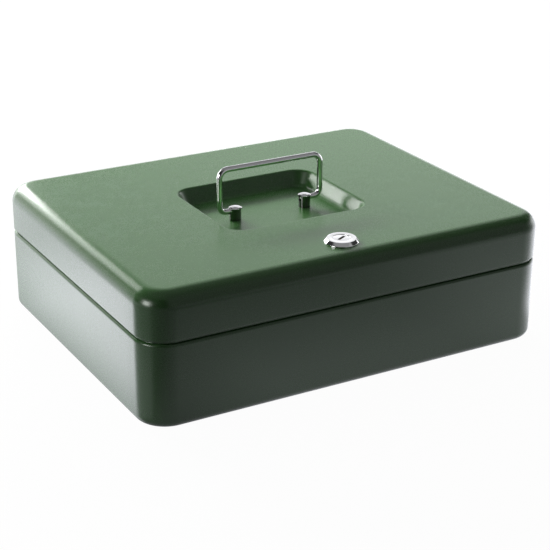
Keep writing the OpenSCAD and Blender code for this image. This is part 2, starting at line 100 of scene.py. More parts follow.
# %% Grid helpers
def surface(name, grid, loop=False):
    """A closed mesh from a grid of points [v, u, xyz] in millimetres. Quads join each point to the next in
    both directions. With loop the rows close on themselves, else the end rows shrink to a pole."""
    rows, cols = grid.shape[:2]
    index = np.arange(rows * cols).reshape(rows, cols)
    ahead = np.roll(index, -1, axis=1)
    if loop:
        points = grid.reshape(-1, 3)
        above, above_ahead = np.roll(index, -1, axis=0), np.roll(ahead, -1, axis=0)
        quads = np.stack([index, ahead, above_ahead, above], axis=-1).reshape(-1, 4)
        faces = quads.tolist()
    else:
        poles = np.stack([grid[0].mean(axis=0), grid[-1].mean(axis=0)])
        points = np.concatenate([grid.reshape(-1, 3), poles])
        quads = np.stack([index[:-1], ahead[:-1], ahead[1:], index[1:]], axis=-1).reshape(-1, 4)
        first, last = rows * cols, rows * cols + 1
        start = np.stack([np.full(cols, first), ahead[0], index[0]], axis=-1)
        end = np.stack([np.full(cols, last), index[-1], ahead[-1]], axis=-1)
        faces = quads.tolist() + start.tolist() + end.tolist()
    mesh = bpy.data.meshes.new(name)
    mesh.from_pydata((points * MM).tolist(), [], faces)
    if signed_volume(mesh) < 0:
        mesh.flip_normals()
    piece = bpy.data.objects.new(name, mesh)
    scene.collection.objects.link(piece)
    return piece


def signed_volume(mesh):
    """Sum over the triangles of corner . (corner x corner) / 6: positive when the faces point outwards."""
    mesh.calc_loop_triangles()
    corners = np.zeros(len(mesh.vertices) * 3)
    mesh.vertices.foreach_get("co", corners)
    corners = corners.reshape(-1, 3)
    tris = np.zeros(len(mesh.loop_triangles) * 3, int)
    mesh.loop_triangles.foreach_get("vertices", tris)
    a, b, c = (corners[tris.reshape(-1, 3)[:, k]] for k in range(3))
    return float(np.einsum("ij,ij->i", a, np.cross(b, c)).sum() / 6)


def arc(x, y, r, start, end, steps):
    """Points on a circle's arc: centre plus r times (cos a, sin a), a in degrees from start to end."""
    a = np.radians(np.linspace(start, end, steps + 1))
    return np.stack([x + r * np.cos(a), y + r * np.sin(a)], axis=-1)


def section(*parts):
    """One section from arcs and single points, laid end to end."""
    return np.concatenate([np.atleast_2d(np.asarray(p, float)) for p in parts])


print("helpers: surface, signed_volume, arc, section")

# %% [markdown]
# ## A profile carried round a rectangle
# The body, the lid and the pocket are all pressed sheet with rounded corners. Their surface is one rule:
# take a rectangle of corner centres, walk round it, and stand a section of (distance out, height) on it.
# Along a side the outward direction stays fixed and the centre slides. In a corner the centre stays and
# the direction turns. A lathe or a bevelled cube would not give the same soft edge all the way round.

# %% Walk round a rectangle
def walk(corner_steps=22, side_steps=16):
    """One trip round a rectangle as rows of (cx, cy, nx, ny): the centre as a share of the half sizes and
    the outward direction. Corners turn a quarter in equal angles, sides slide in equal steps."""
    turn = np.linspace(0, 1, corner_steps + 1)
    slide = np.linspace(1, -1, side_steps + 1)[1:-1]
    trip = []
    for k, (cx, cy) in enumerate([(1, 1), (-1, 1), (-1, -1), (1, -1)]):
        a = (k + turn) * math.pi / 2
        trip.append(np.stack([np.full_like(a, cx), np.full_like(a, cy), np.cos(a), np.sin(a)], axis=-1))
        nx, ny = round(math.cos((k + 1) * math.pi / 2)), round(math.sin((k + 1) * math.pi / 2))
        level = 0 * slide
        trip.append(np.stack([nx + ny * slide, ny - nx * slide, nx + level, ny + level], axis=-1))
    return np.concatenate(trip)


def stations(rectangle, profile):
    """Rows of (w, d, y, out, z): a section standing on a rectangle w by d whose middle is at y."""
    w, d, y = rectangle
    return np.column_stack([np.tile([w, d, y], (len(profile), 1)), profile])


def carried(rows, trip, guard=0.35):
    """Points = centre share x half size + outward direction x out, at height z. Beside each bend a guard
    row lies close to the long face, so that the face stays flat in the light."""
    dense = [rows[0]]
    for a, b in zip(rows[:-1], rows[1:]):
        length = np.hypot(np.hypot(b[3] - a[3] + (b[0] - a[0]) / 2, b[4] - a[4]), (b[1] - a[1]) / 2)
        if length > 8 * guard:
            t = guard / length
            dense += [a + (b - a) * t, a + (b - a) * (1 - t)]
        dense.append(b)
    w, d, y, out, z = np.array(dense).T[:, :, None]
    cx, cy, nx, ny = trip.T[:, None, :]
    return np.stack([cx * w / 2 + nx * out, y + cy * d / 2 + ny * out, z + 0 * cx], axis=-1)


trip = walk()
print("points in one trip round:", len(trip))

# %% [markdown]
# ## Cutting and finishing
# Round holes and the notches for the hinges are cut with the Boolean modifier, as a fitter would cut them
# after pressing. The cutters are turned shapes, rods and blocks. The result is read back evaluated, so the
# finished piece carries no live cutters. Edges sharper than 32 degrees stay crisp and the rest is smooth.

# %% Cutters and finishing
def lathe(name, profile, x=0.0, y=0.0, steps=64, loop=False):
    """A profile of (radius, z) turned about an upright axis: (x + r cos a, y + r sin a, z)."""
    a = np.linspace(0, 2 * math.pi, steps, endpoint=False)
    r, z = np.asarray(profile, float).T[:, :, None]
    grid = np.stack([x + r * np.cos(a), y + r * np.sin(a), z + 0 * a], axis=-1)
    return surface(name, grid, loop)


def rod(name, start, end, r, steps=48):
    """A round rod along X: the circle's points (y, z) repeated at both ends, with the end faces closed."""
    a = np.linspace(0, 2 * math.pi, steps, endpoint=False)
    x = np.array([start[0], start[0], end[0], end[0]])[:, None]
    grow = np.array([0.0, 1.0, 1.0, 0.0])[:, None] * r
    grid = np.stack([x + 0 * a, start[1] + grow * np.cos(a), start[2] + grow * np.sin(a)], axis=-1)
    return surface(name, grid)


def block(name, low, high, turn=0.0):
    """A box from low to high as four walls and two ends, turned about the upright axis by an angle."""
    (x0, y0, z0), (x1, y1, z1) = low, high
    ring = np.array([[x0, y0], [x1, y0], [x1, y1], [x0, y1]])
    middle = ring.mean(axis=0)
    spin = np.array([[math.cos(turn), math.sin(turn)], [-math.sin(turn), math.cos(turn)]])
    ring = (ring - middle) @ spin + middle
    points = np.concatenate([np.column_stack([ring, np.full(4, z)]) for z in (z0, z1)])
    faces = [[0, 3, 2, 1], [4, 5, 6, 7], [0, 1, 5, 4], [1, 2, 6, 5], [2, 3, 7, 6], [3, 0, 4, 7]]
    mesh = bpy.data.meshes.new(name)
    mesh.from_pydata((points * MM).tolist(), [], faces)
    piece = bpy.data.objects.new(name, mesh)
    scene.collection.objects.link(piece)
    return piece


def carve(piece, cutters, operation="DIFFERENCE"):
    """Applies one exact Boolean per cutter, keeps the evaluated mesh and removes the cutters."""
    for cutter in cutters:
        change = piece.modifiers.new("cut", "BOOLEAN")
        change.operation, change.solver, change.object = operation, "EXACT", cutter
    seen = piece.evaluated_get(bpy.context.evaluated_depsgraph_get())
    mesh = bpy.data.meshes.new_from_object(seen)
    piece.modifiers.clear()
    piece.data = mesh
    mesh.name = piece.name
    for cutter in cutters:
        bpy.data.objects.remove(cutter)
    return piece


def finish_piece(piece, body, material, stands_for=(), crisp=32, edge=0.0):
    """Smooth faces with crisp edges, an optional small bevel, one material, and its place in the frame."""
    mesh = piece.data
    mesh.materials.clear()
    mesh.materials.append(material)
    mesh.polygons.foreach_set("use_smooth", np.ones(len(mesh.polygons), bool))
    mesh.set_sharp_from_angle(angle=math.radians(crisp))
    if edge:
        soften = piece.modifiers.new("soft_edge", "BEVEL")
        soften.width, soften.segments, soften.limit_method = edge * MM, 2, "ANGLE"
        soften.angle_limit, soften.use_clamp_overlap = math.radians(crisp), True
        weigh = piece.modifiers.new("even_light", "WEIGHTED_NORMAL")
        weigh.keep_sharp = False
    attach(piece, body)
    if stands_for:
        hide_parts(*stands_for)
    print(f"{piece.name}: {len(mesh.polygons)} faces on {body}")


def cad_copy(node, name, weld_reach=0.001, flat_within=0.5):
    """A CAD node's own mesh with its loose triangles merged and its flat faces joined, so that a bevel
    finds its edges."""
    mesh = nodes[node].data.copy()
    mesh.name = name
    piece = bpy.data.objects.new(name, mesh)
    scene.collection.objects.link(piece)
    weld = piece.modifiers.new("weld", "WELD")
    weld.merge_threshold = weld_reach * MM
    flat = piece.modifiers.new("flat_faces", "DECIMATE")
    flat.decimate_type, flat.angle_limit = "DISSOLVE", math.radians(flat_within)
    seen = piece.evaluated_get(bpy.context.evaluated_depsgraph_get())
    piece.data = bpy.data.meshes.new_from_object(seen)
    piece.modifiers.clear()
    piece.data.name = name
    return piece


print("helpers: lathe, rod, block, carve, finish_piece, cad_copy")

# %% [markdown]
# ## Materials as short sums
# A material is a graph of nodes, but most of it is arithmetic. The class below wraps an output socket, so
# that a plain expression such as 0.3 + 0.1 * noise adds the Math nodes by itself. All patterns read Object
# coordinates, in metres, so a scale of 1000 gives spots of about a millimetre on every piece alike.

# %% Sockets that add up
class Signal:
    """One output socket. The signs + - and * between signals and numbers add Math nodes."""

    def __init__(self, recipe, socket):
        self.recipe, self.socket = recipe, socket

    def _math(self, operation, first, second, clamp=False):
        return self.recipe.node("ShaderNodeMath", {"operation": operation, "use_clamp": clamp},
                                {0: first, 1: second})["Value"]

    def __add__(self, other):
        return self._math("ADD", self, other)

    def __radd__(self, other):
        return self._math("ADD", other, self)

    def __sub__(self, other):
        return self._math("SUBTRACT", self, other)

    def __rsub__(self, other):
        return self._math("SUBTRACT", other, self)

    def __mul__(self, other):
        return self._math("MULTIPLY", self, other)

    def __rmul__(self, other):
        return self._math("MULTIPLY", other, self)

    def larger(self, other):
        return self._math("MAXIMUM", self, other)

    def clamped(self):
        """Held between 0 and 1."""
        return self._math("ADD", self, 0.0, clamp=True)

    def angle_from(self, other):
        """The angle in degrees whose sine goes with self and whose cosine goes with other."""
        return self._math("ARCTAN2", self, other) * math.degrees(1)


class Outputs:
    """A node whose outputs are read by name or number, as signals."""

    def __init__(self, recipe, node):
        self.recipe, self.node = recipe, node

    def __getitem__(self, key):
        return Signal(self.recipe, self.node.outputs[key])


class Recipe:
    """A node tree that is filled by one method: a type, its settings, then its inputs."""

    def __init__(self, tree):
        self.tree = tree
        tree.nodes.clear()

    def node(self, kind, settings=None, inputs=None):
        made = self.tree.nodes.new(kind)
        for key, value in (settings or {}).items():
            setattr(made, key, value)
        for key, value in (inputs or {}).items():
            if isinstance(value, Signal):
                self.tree.links.new(value.socket, made.inputs[key])
            else:
                made.inputs[key].default_value = value
        return Outputs(self, made)

    def noise(self, size_mm, detail=2.0, roughness=0.5):
        """Soft noise from 0 to 1 whose spots are about size_mm wide."""
        place = self.node("ShaderNodeTexCoord")["Object"]
        return self.node("ShaderNodeTexNoise", {"noise_dimensions": "3D"},
                         {"Vector": place, "Scale": 1000.0 / size_mm, "Detail": detail,
                          "Roughness": roughness})["Fac"]

    def mix(self, share, first, second):
        """A colour between two colours. The node's sockets for colours are inputs 6 and 7, output 2."""
        return self.node("ShaderNodeMix", {"data_type": "RGBA"}, {0: share, 6: first, 7: second})[2]

    def bump(self, height, strength, depth_mm):
        """Normals tilted as if the surface rose by depth_mm times the height."""
        return self.node("ShaderNodeBump", {}, {"Height": height, "Strength": strength,
                                                "Distance": depth_mm * MM})["Normal"]

    def surface(self, **inputs):
        """The Principled shader, with every input by its name, on the material's output."""
        named = {key.replace("_", " "): value for key, value in inputs.items()}
        shader = self.node("ShaderNodeBsdfPrincipled", {}, named)["BSDF"]
        self.node("ShaderNodeOutputMaterial", {}, {"Surface": shader})


def material(name):
    """A new material and the recipe that fills it."""
    made = bpy.data.materials.new(name)
    made.use_nodes = True
    return made, Recipe(made.node_tree)


def grey(value):
    """A colour with three equal parts."""
    return (value, value, value, 1.0)


print("material helpers ready")

# %% [markdown]
# ## The green powder coat
# Powder coat is sprayed dry and melted on. It flows into a skin with a shallow ripple, like orange peel,
# and its gloss is never quite even. So the colour barely changes, while the roughness and the bump carry
# two sizes of noise: a ripple of about two millimetres and a grain of half a millimetre. A third, broad
# noise shifts colour and gloss a little from place to place.

# %% Green powder coat
green_paint, mixer = material("green_paint")
ripple = mixer.noise(2.4, detail=1.0)
grain = mixer.noise(0.55, detail=2.0)
cloud = mixer.noise(38.0, detail=3.0, roughness=0.6)
deep_green, light_green = (0.040, 0.120, 0.031, 1), (0.052, 0.150, 0.041, 1)
lightness = (0.35 + 0.3 * cloud + 0.35 * (grain - 0.5)).clamped()
paint_colour = mixer.mix(lightness, deep_green, light_green)
mixer.surface(Base_Color=paint_colour, Roughness=0.27 + 0.03 * (cloud - 0.5) + 0.05 * (grain - 0.5),
              Normal=mixer.bump(0.65 * ripple + 0.35 * grain, 0.35, 0.05))
print("green powder coat: ripple 2.4 mm, grain 0.55 mm")

# %% [markdown]
# ## Chrome
# The handle, its posts and the lock's face are plated: a metal with almost no roughness, a little clouded
# by handling. What such a mirror shows is nearly all room, so only the shade of grey tells the pieces
# apart. The lock's face is polished before it is plated and is the palest. The bail's wire has a darker
# grey, a painted shade for the dark room it mirrors. The posts' domes are bright, and what is below them is
# painted dark: a painted shade for the shadow the shafts stand in and mirror.

# %% Chrome
def plated(name, dull, bright, shade_below=None, shade=0.15, soft=0.3):
    """Metal between two greys. Below a height in millimetres it turns to a darker grey, a painted shade, over
    a soft edge.
    """
    made, mixer = material(name)
    smudge = mixer.noise(6.0, detail=3.0, roughness=0.6)
    haze = mixer.noise(0.8, detail=2.0)
    colour = mixer.mix(smudge, grey(dull), grey(bright))
    if shade_below is not None:
        place = mixer.node("ShaderNodeTexCoord")["Object"]
        height = mixer.node("ShaderNodeSeparateXYZ", {}, {0: place})["Z"]
        share = ((height - (shade_below - soft) * MM) * (1 / (soft * MM))).clamped()
        colour = mixer.mix(share, grey(shade), colour)
    mixer.surface(Base_Color=colour, Metallic=1.0, Roughness=0.07 + 0.05 * smudge + 0.03 * haze,
                  Normal=mixer.bump(haze, 0.05, 0.01))
    return made


shade_depth = 1.2                         # the posts' painted shade starts at the foot of their domes
painted_shade_top = pocket_floor + post_h - shade_depth
chrome = plated("chrome", 0.84, 0.93)
# the wire's darker grey is a painted shade for the dark room it mirrors
shaded_wire_chrome = plated("chrome_wire", 0.56, 0.64)
# the posts' shafts are painted darker below this height, a painted shade for their own shadow in the pocket
post_chrome = plated("chrome_posts", 0.80, 0.90, painted_shade_top)
print("chrome for the lock, the bail and the posts, whose shafts are dark below", round(painted_shade_top, 1), "mm")

# %% [markdown]
# ## Zinc, brass and plastic
# The hidden washers, nuts, cam and strike are dull zinc with a faint spangle. The lock's wafers are
# stamped brass. The trays are black moulded plastic with a fine grained skin that is worn a little
# smoother in places.

# %% Zinc plated steel
zinc_steel, mixer = material("zinc_steel")
spangle = mixer.noise(3.0, detail=3.0, roughness=0.65)
fine = mixer.noise(0.5, detail=2.0)
dark_zinc, light_zinc = (0.50, 0.51, 0.52, 1), (0.62, 0.63, 0.64, 1)
mixer.surface(Base_Color=mixer.mix(spangle, dark_zinc, light_zinc), Metallic=1.0,
              Roughness=0.30 + 0.16 * spangle, Normal=mixer.bump(fine, 0.15, 0.02))
print("zinc: spangle 3 mm")

# %% Brass
brass, mixer = material("brass")
tarnish = mixer.noise(2.0, detail=3.0)
dark_brass, light_brass = (0.70, 0.52, 0.24, 1), (0.76, 0.60, 0.33, 1)
mixer.surface(Base_Color=mixer.mix(tarnish, dark_brass, light_brass), Metallic=1.0,
              Roughness=0.22 + 0.15 * tarnish, Normal=mixer.bump(tarnish, 0.08, 0.02))
print("brass: tarnish 2 mm")

# %% Tray plastic
tray_plastic, mixer = material("tray_plastic")
skin = mixer.noise(0.7, detail=2.0)
wear = mixer.noise(25.0, detail=3.0)
deep_black, worn_black = (0.017, 0.017, 0.018, 1), (0.026, 0.026, 0.027, 1)
mixer.surface(Base_Color=mixer.mix(wear, deep_black, worn_black),
              Roughness=0.45 + 0.12 * wear + 0.06 * skin, Normal=mixer.bump(skin, 0.3, 0.04))
print("tray plastic: grain 0.7 mm")

# %% [markdown]
# ## The body
# The body is one pressing: flat bottom, a 5 mm lower edge, upright wall, a rounded shoulder, and inside it
# a rim of doubled sheet that the lid closes over. Its section is a closed line, so the walk round the
# corner centres gives inside and outside at once, with a pole in the middle of each side of the bottom.

# %% Body
base_x, shoulder_x, shoulder_z = corner_r - base_edge_r, corner_r - shoulder_r, body_h - shoulder_r
middle = (0.0, 0.0, 0.0)                   # a rectangle of no size, for the pole at the bottom's middle
wall_rectangle = (straight_w, straight_d, 0.0)
body_section = section(
    arc(base_x, base_edge_r, base_edge_r, -90, 0, 12),
    arc(shoulder_x, shoulder_z, shoulder_r, 0, 90, 8),
    arc(rim_out + rim_root_r, body_h + rim_root_r, rim_root_r, -90, -180, 3),
    arc(rim_in + sheet, rim_top - sheet, sheet, 0, 180, 12),
    [rim_in, body_h - sheet],
    arc(shoulder_x, shoulder_z, shoulder_r - sheet, 90, 0, 5),
    arc(base_x, base_edge_r, base_edge_r - sheet, 0, -90, 8))
body_rows = np.concatenate([stations(middle, [[0, 0]]), stations(wall_rectangle, body_section),
                            stations(middle, [[0, sheet]])])
body = surface("body_pressing", carried(body_rows, trip))

notch_r = knuckle_d / 2 + turn_gap
notch_y = min(hinge_y - notch_r, straight_d / 2 + rim_in) - through
half_notch = hinge_w / 2 + slack
carve(body, [block("notch", (x - half_notch, notch_y, hinge_z - notch_r),
                   (x + half_notch, box_d / 2 + through, rim_top + through)) for x in (-hinge_x, hinge_x)])
finish_piece(body, "box", green_paint, ["box_shell"])

# %% [markdown]
# ## The lid
# The lid is pressed in the same way. Its section starts in the middle of the handle's pocket, climbs the
# pocket's sloping wall, runs flat to the rounded top edge and down the skirt, then comes back inside at
# one sheet's thickness. The pocket and the edge have different rectangles, so the flat top is simply the
# straight blend from one to the other.

# %% Lid
slope_deg = math.degrees(wall_slope)
slope_run = (pocket_sink - (lip_r + floor_r) * (1 - math.cos(wall_slope))) / math.tan(wall_slope)
floor_x = pocket_r - (lip_r + floor_r) * math.sin(wall_slope) - slope_run
pocket_rectangle = (pocket_w - 2 * pocket_r, pocket_d - 2 * pocket_r, pocket_y)
pocket_middle = (0.0, 0.0, pocket_y)
floor_z, lip_z = pocket_floor + floor_r, box_top - lip_r
edge_x, edge_z = corner_r - lid_edge_r, box_top - lid_edge_r
lid_rows = np.concatenate([
    stations(pocket_middle, [[0, pocket_floor]]),
    stations(pocket_rectangle, section(
        arc(floor_x, floor_z, floor_r, -90, slope_deg - 90, 9),
        arc(pocket_r, lip_z, lip_r, 90 + slope_deg, 90, 9))),
    stations(wall_rectangle, section(
        arc(edge_x, edge_z, lid_edge_r, 90, 0, 18),
        arc(corner_r - sheet / 2, lid_bottom + sheet / 2, sheet / 2, 0, -180, 8),
        arc(edge_x, edge_z, lid_edge_r - sheet, 0, 90, 10))),
    stations(pocket_rectangle, section(
        arc(pocket_r, lip_z, lip_r - sheet, 90, 90 + slope_deg, 6),
        arc(floor_x, floor_z, floor_r + sheet, slope_deg - 90, -90, 6))),
    stations(pocket_middle, [[0, pocket_floor - sheet]])])
lid = surface("lid_pressing", carried(lid_rows, trip))


# %% Holes in the lid
def drill(r, low, high, x, y, steps):
    """A round cutter of radius r from one height to another."""
    return lathe("hole", section([0, low], [r, low], [r, high], [0, high]), x, y, steps)


lid_cutters = [block("notch", (x - half_notch, notch_y, lid_bottom - through),
                     (x + half_notch, box_d / 2 + through, hinge_z + notch_r)) for x in (-hinge_x, hinge_x)]
lid_cutters += [drill(tail_d / 2 + fit, pocket_floor - 2 * sheet, pocket_floor + sheet, x, pocket_y, 32)
                for x in (-post_gap / 2, post_gap / 2)]
lid_cutters.append(drill(barrel_d / 2 + fit, box_top - 2 * sheet, box_top + sheet, 0, lock_y, 48))
carve(lid, lid_cutters)
finish_piece(lid, "lid", green_paint, ["lid_shell"])

# %% [markdown]
# ## The bail handle
# The handle is one length of 4 mm wire bent in a plane. Its centre line is made of straights and quarter
# bends, and a circle is carried along it. The plane of the wire never turns, so the circle's second axis
# is always Y, and no twist can creep in. The ends are rounded off where they enter the posts.

# %% Bail handle
def wire_path(into_post=1.0):
    """Centre line in X and Z: foot, bend, leg, bend and half the grip, then the same mirrored."""
    half = bail_w / 2
    foot_end = post_gap / 2 - post_d / 2 + into_post
    foot = np.linspace([foot_end, 0], [half - foot_bend_r, 0], 6)[:-1]
    low = arc(half - foot_bend_r, foot_bend_r, foot_bend_r, -90, 0, 12)
    leg = np.linspace([half, foot_bend_r], [half, bail_h - grip_bend_r], 8)[1:-1]
    high = arc(half - grip_bend_r, bail_h - grip_bend_r, grip_bend_r, 0, 90, 14)
    grip = np.linspace([half - grip_bend_r, bail_h], [0, bail_h], 10)[1:]
    side = np.concatenate([foot, low, leg, high, grip])
    return np.concatenate([side, (side * [-1, 1])[-2::-1]])


def directions(path):
    """Unit vectors along a path: the difference of a point's neighbours over its length."""
    lead = np.gradient(path, axis=0)
    return lead / np.linalg.norm(lead, axis=1)[:, None]


def wire_tube(name, path, r, steps=28, end_share=0.25):
    """Circle carried along a flat path: point = path + radius (cos a x in-plane normal + sin a x Y). The
    first and last rings shrink along a quarter circle of end_share x radius, so both ends are rounded."""
    lead = directions(path)
    cap = np.radians(np.linspace(0, 80, 5))
    soft = end_share * r
    start = path[0] + lead[0] * soft * (1 - np.sin(cap)[::-1, None])
    end = path[-1] - lead[-1] * soft * (1 - np.sin(cap)[:, None])
    line = np.concatenate([start, path[1:-1], end])
    size = np.concatenate([r - soft * (1 - np.cos(cap)[::-1]), np.full(len(path) - 2, r),
                           r - soft * (1 - np.cos(cap))])
    lead = directions(line)
    across = np.stack([lead[:, 1], -lead[:, 0]], axis=-1)
    a = np.linspace(0, 2 * math.pi, steps, endpoint=False)
    x = line[:, 0, None] + size[:, None] * across[:, 0, None] * np.cos(a)
    z = pivot_z + line[:, 1, None] + size[:, None] * across[:, 1, None] * np.cos(a)
    y = pocket_y + size[:, None] * np.sin(a)
    return surface(name, np.stack([x, y, z], axis=-1))


bail = wire_tube("bail_handle", wire_path(), wire_d / 2)
finish_piece(bail, "handle", shaded_wire_chrome, ["handle_bail"])

# %% [markdown]
# ## The handle posts
# Each post is turned on a lathe: a riveted tail under the pocket, a plain shaft, and a slightly wider head
# with a low dome. A profile of radius and height describes it completely. The cross hole for the bail's
# foot is drilled afterwards.

# %% Handle posts
tail_edge_r, seat_edge, head_under_r = 0.2, 0.1, 0.15
dome_start = 0.6                           # degrees left out where the dome meets the head's edge
head_r = post_head_d / 2
dome_r = 2 * head_r
dome_h = dome_r - math.sqrt(dome_r ** 2 - head_r ** 2)
dome_angle = math.degrees(math.asin(head_r / dome_r))
tail_bottom = pocket_floor - sheet - post_washer_t - tail_head_t
tail_top = tail_bottom + tail_head_t
head_z = pocket_floor + post_h - dome_h - post_head_edge
post_top = pocket_floor + post_h
post_profile = section(
    [0, tail_bottom],
    arc(tail_head_d / 2 - tail_edge_r, tail_bottom + tail_edge_r, tail_edge_r, -90, 0, 3),
    arc(tail_head_d / 2 - tail_edge_r, tail_top - tail_edge_r, tail_edge_r, 0, 90, 3),
    [tail_d / 2, tail_top], [tail_d / 2, pocket_floor],
    [post_d / 2 - seat_edge, pocket_floor], [post_d / 2, pocket_floor + seat_edge], [post_d / 2, head_z],
    arc(head_r - head_under_r, head_z + head_under_r, head_under_r, -90, 0, 3),
    arc(0, post_top - dome_r, dome_r, 90 - dome_angle + dome_start, 90, 10))
for side, x in (("left", -post_gap / 2), ("right", post_gap / 2)):
    post = lathe("post_" + side, post_profile, x, pocket_y, 56)
    cross = [(x + s * post_d, pocket_y, pivot_z) for s in (-1, 1)]
    carve(post, [rod("hole", *cross, wire_d / 2 + fit)])
    finish_piece(post, "lid", post_chrome, ["handle_post_" + side])

# %% [markdown]
# ## The lock's barrel
# The lock is a chrome barrel with a bevelled head on the lid. The barrel is a lathe profile that closes on
# itself, because it has a bore, and two flats are milled on it so that it cannot turn in the lid. Its
# lower end follows from the stack below: strike, cam and stop washer.

# %% Lock barrel
cam_top = rim_top - play - strike_t - strike_gap
cam_bottom = cam_top - cam_t
plug_end = cam_top + stop_t
barrel_bottom = plug_end + play
lock_top = box_top + lock_head_h
plug_top = lock_top - 2 * play
bore, sink = plug_d / 2 + fit, plug_head_d / 2 + fit
seat_z = plug_top - plug_head_t - play
barrel_edge, head_foot_r, head_edge_r, head_edge_drop = 0.3, 0.12, 0.25, 0.15
face_edge_r, sink_edge_r = 0.3, 0.15
lock_profile = section(
    [bore, barrel_bottom], [barrel_d / 2 - barrel_edge, barrel_bottom],
    [barrel_d / 2, barrel_bottom + barrel_edge], [barrel_d / 2, box_top],
    arc(lock_head_d / 2 - head_foot_r, box_top + head_foot_r, head_foot_r, -90, 0, 3),
    arc(lock_head_d / 2 - head_edge_r, box_top + lock_head_edge - head_edge_drop, head_edge_r, 0, 55, 4),
    arc(lock_face_d / 2 - face_edge_r, lock_top - face_edge_r, face_edge_r, 50, 90, 4),
    arc(sink + sink_edge_r, lock_top - sink_edge_r, sink_edge_r, 90, 180, 3), [sink, seat_z], [bore, seat_z])
barrel = lathe("lock_barrel", lock_profile, 0, lock_y, 96, loop=True)

skin_left, mill_w = 0.001, barrel_d        # the flats end just below the head, so no two faces coincide
mill_y = barrel_flats / 2 + mill_w / 2
carve(barrel, [block("flat", (-mill_w, lock_y + s * mill_y - mill_w / 2, barrel_bottom - through),
                     (mill_w, lock_y + s * mill_y + mill_w / 2, box_top - skin_left)) for s in (-1, 1)])
finish_piece(barrel, "lid", chrome, ["lock_housing"])

# %% [markdown]
# ## The plug
# The plug turns inside the barrel. A square drive below it carries the cam and is joined on with a Boolean
# union, and the key's slot is cut into its face at an angle, as it rests.

# %% Lock plug
plug_edge_r = 0.2
plug_profile = section(
    [0, plug_end], [plug_d / 2, plug_end], [plug_d / 2, plug_top - plug_head_t],
    [plug_head_d / 2, plug_top - plug_head_t],
    arc(plug_head_d / 2 - plug_edge_r, plug_top - plug_edge_r, plug_edge_r, 0, 90, 4), [0, plug_top])
plug = lathe("lock_plug_face", plug_profile, 0, lock_y, 72)
carve(plug, [block("drive", (-drive_w / 2, lock_y - drive_w / 2, cam_bottom + play),
                   (drive_w / 2, lock_y + drive_w / 2, plug_end + through))], "UNION")
carve(plug, [block("keyway", (-keyway_l / 2, lock_y - keyway_w / 2, plug_top - keyway_depth),
                   (keyway_l / 2, lock_y + keyway_w / 2, plug_top + through), keyway_angle)])
finish_piece(plug, "lock", chrome, ["lock_plug"])

# %% [markdown]
# ## Hinges and fittings
# The hinges, the strike, the cam and the nuts are simple stampings whose CAD shapes are right already.
# A copy of each has its triangles merged and its edges rounded by a Bevel modifier, because a stamped or
# moulded edge always catches a thin line of light. The width of the bevel follows the piece's own size.

# %% Hinges and fittings
sides = ("left", "right")
for part, body_name in (("body", "box"), ("lid", "lid")):
    for side in sides:
        node = f"hinge_{part}_leaf_{side}"
        leaf = cad_copy(node, node + "_dressed")
        finish_piece(leaf, body_name, green_paint, [node], edge=0.25)

zinc_fittings = [(f"hinge_pin_{side}", "box", 0.3) for side in sides]
zinc_fittings += [("strike_plate", "box", 0.15), ("post_washers", "lid", 0.12), ("lock_washer", "lid", 0.12),
                  ("lock_nut", "lid", 0.4), ("lock_cam", "lock", 0.2), ("cam_screw", "lock", 0.2),
                  ("lock_stop_washer", "lock", 0.12)]
for node, body_name, edge in zinc_fittings:
    fitting = cad_copy(node, node + "_dressed")
    finish_piece(fitting, body_name, zinc_steel, [node], edge=edge)

# %% [markdown]
# ## The trays
# Inside, a note tray and two coin trays hang on the rim. They are thin mouldings with curved cup bottoms.
# Their copies get a 0.4 mm bevel on every rim, as a mould's parting edge is never sharp.

# %% Trays
for node in ("note_tray", "coin_tray_left", "coin_tray_right"):
    tray = cad_copy(node, node + "_dressed")
    finish_piece(tray, "box", tray_plastic, [node], edge=0.4)

# %% [markdown]
# ## The wafers
# The wafers in the plug are hidden behind its face. The CAD solids stay as they are and only get brass.

# %% Wafers
wafers = nodes["lock_wafers"].data
wafers.materials.clear()
wafers.materials.append(brass)
print("lock_wafers:", len(wafers.polygons), "faces in brass")

# %% [markdown]
# ## A room laid out in directions
# Semi-gloss paint shows two things at once. Its green is brought out by the light that falls on it. Its
# shine is an image of the room: silver where it mirrors something bright at a low angle, and nearly black
# where it mirrors the dark side of the room, in front of the box. So air and lamps are placed by direction,
# and the table's glows by place. A turn counts degrees to the left of the way the camera looks, and a rise
# counts degrees above the table. Edges between light and dark are soft steps or bands of such a number.

# %% Directions in the room
back_axis = math.radians(60.3)             # the way the camera looks, from +X towards +Y
plain_white = 1.0                          # the strength at which a surface is white to the camera


def step_between(signal, low, high):
    """0 below low, 1 above high and a straight line between."""
    return ((signal - low) * (1 / (high - low))).clamped()


def band(signal, low, high, soft):
    """1 between low and high, 0 outside, with edges that are soft on both sides of each limit."""
    return (step_between(signal, low - soft, low + soft)
            * (1 - step_between(signal, high - soft, high + soft)))


def turned_axes(x, y):
    """The parts of a direction or place along the way the camera looks and to the left of it."""
    ahead = x * math.cos(back_axis) + y * math.sin(back_axis)
    aside = y * math.cos(back_axis) - x * math.sin(back_axis)
    return ahead, aside


print("the camera looks", round(90 - math.degrees(back_axis), 1), "degrees to the right of +Y")

# %% [markdown]
# ## The table
# To the camera the table is plain white. To mirrors it is a pattern of glows: strong on the left, where
# the box's left wall mirrors it, weaker round the front left corner, in front and on the right, and strong
# again in a field far behind. A little matt paper shows through the glow, so the box keeps its shadow, and
# the paper is dark to all rays but the camera's, so the table throws hardly any light up on the box.

